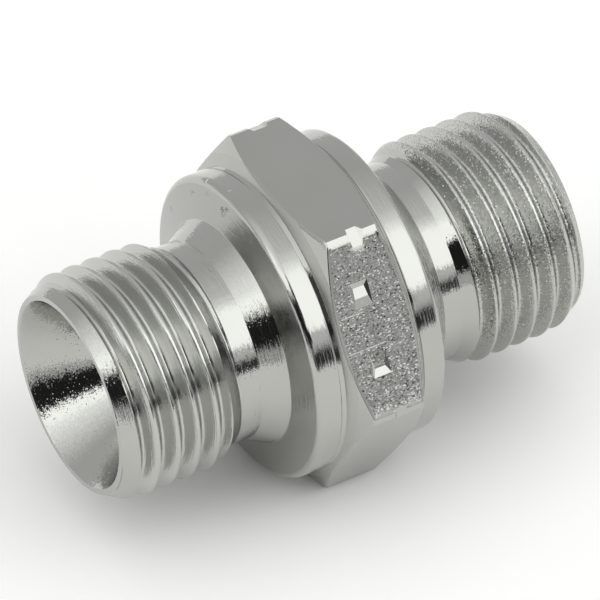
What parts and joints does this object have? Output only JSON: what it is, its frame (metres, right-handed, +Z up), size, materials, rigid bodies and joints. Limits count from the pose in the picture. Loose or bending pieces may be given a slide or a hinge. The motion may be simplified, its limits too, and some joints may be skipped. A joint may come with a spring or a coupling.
{
  "type": "straight hydraulic adapter",
  "caption": "Turned steel straight adapter for hydraulic lines: a middle hexagon between round collars, with an outside thread and a conical seat at each end.",
  "frame": {"origin": "centre of the bore at the middle of the hexagon, which is the centre of the bounding box", "axes": "+X along the bore, +Z up out of the flat that lies on top, +Y away from the flat with the dimples"},
  "size_m": [0.0356, 0.0252, 0.022],
  "materials": {
    "zinc_plated_steel": "zinc plated, satin to bright"
  },
  "bodies": {
    "root": {"adapter_body": "zinc_plated_steel"}
  },
  "joints": []
}
